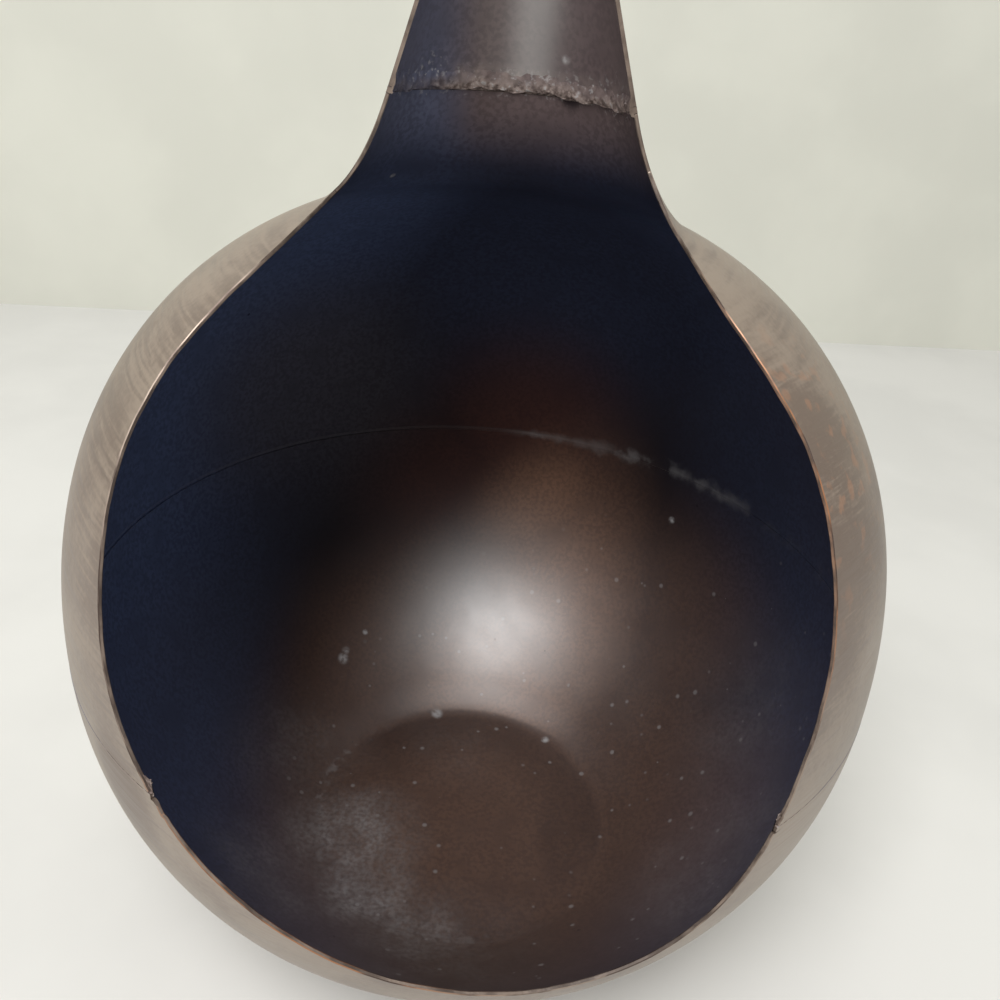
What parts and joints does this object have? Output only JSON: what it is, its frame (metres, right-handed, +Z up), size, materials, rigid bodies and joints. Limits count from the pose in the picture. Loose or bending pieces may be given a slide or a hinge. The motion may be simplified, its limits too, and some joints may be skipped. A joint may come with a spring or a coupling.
{
  "type": "metal catchall bowl",
  "caption": "Gourd-shaped sheet-metal catchall bowl on a flat foot, its front cut away into a wide mouth that runs up into an open half-round stem.",
  "frame": {"origin": "centre of the flat foot's underside, on the surface the bowl stands on", "axes": "+Z up along the body's axis to the end of the stem, -Y out through the mouth, +X to the right as seen from the front"},
  "size_m": [0.1798, 0.1744, 0.2471],
  "materials": {
    "shell_patina": "satin dark bronze patina over thin sheet, rubbed to copper brown along the cut edge",
    "stem_patina": "satin dark bronze patina over thin sheet, faint lengthwise marks",
    "weld_metal": "rough weld bead, patina worn to pale grey on its high spots"
  },
  "bodies": {
    "root": {"lower_shell": "shell_patina", "upper_shell": "shell_patina", "stem": "stem_patina", "seam_weld": "weld_metal", "neck_weld": "weld_metal"}
  },
  "joints": []
}
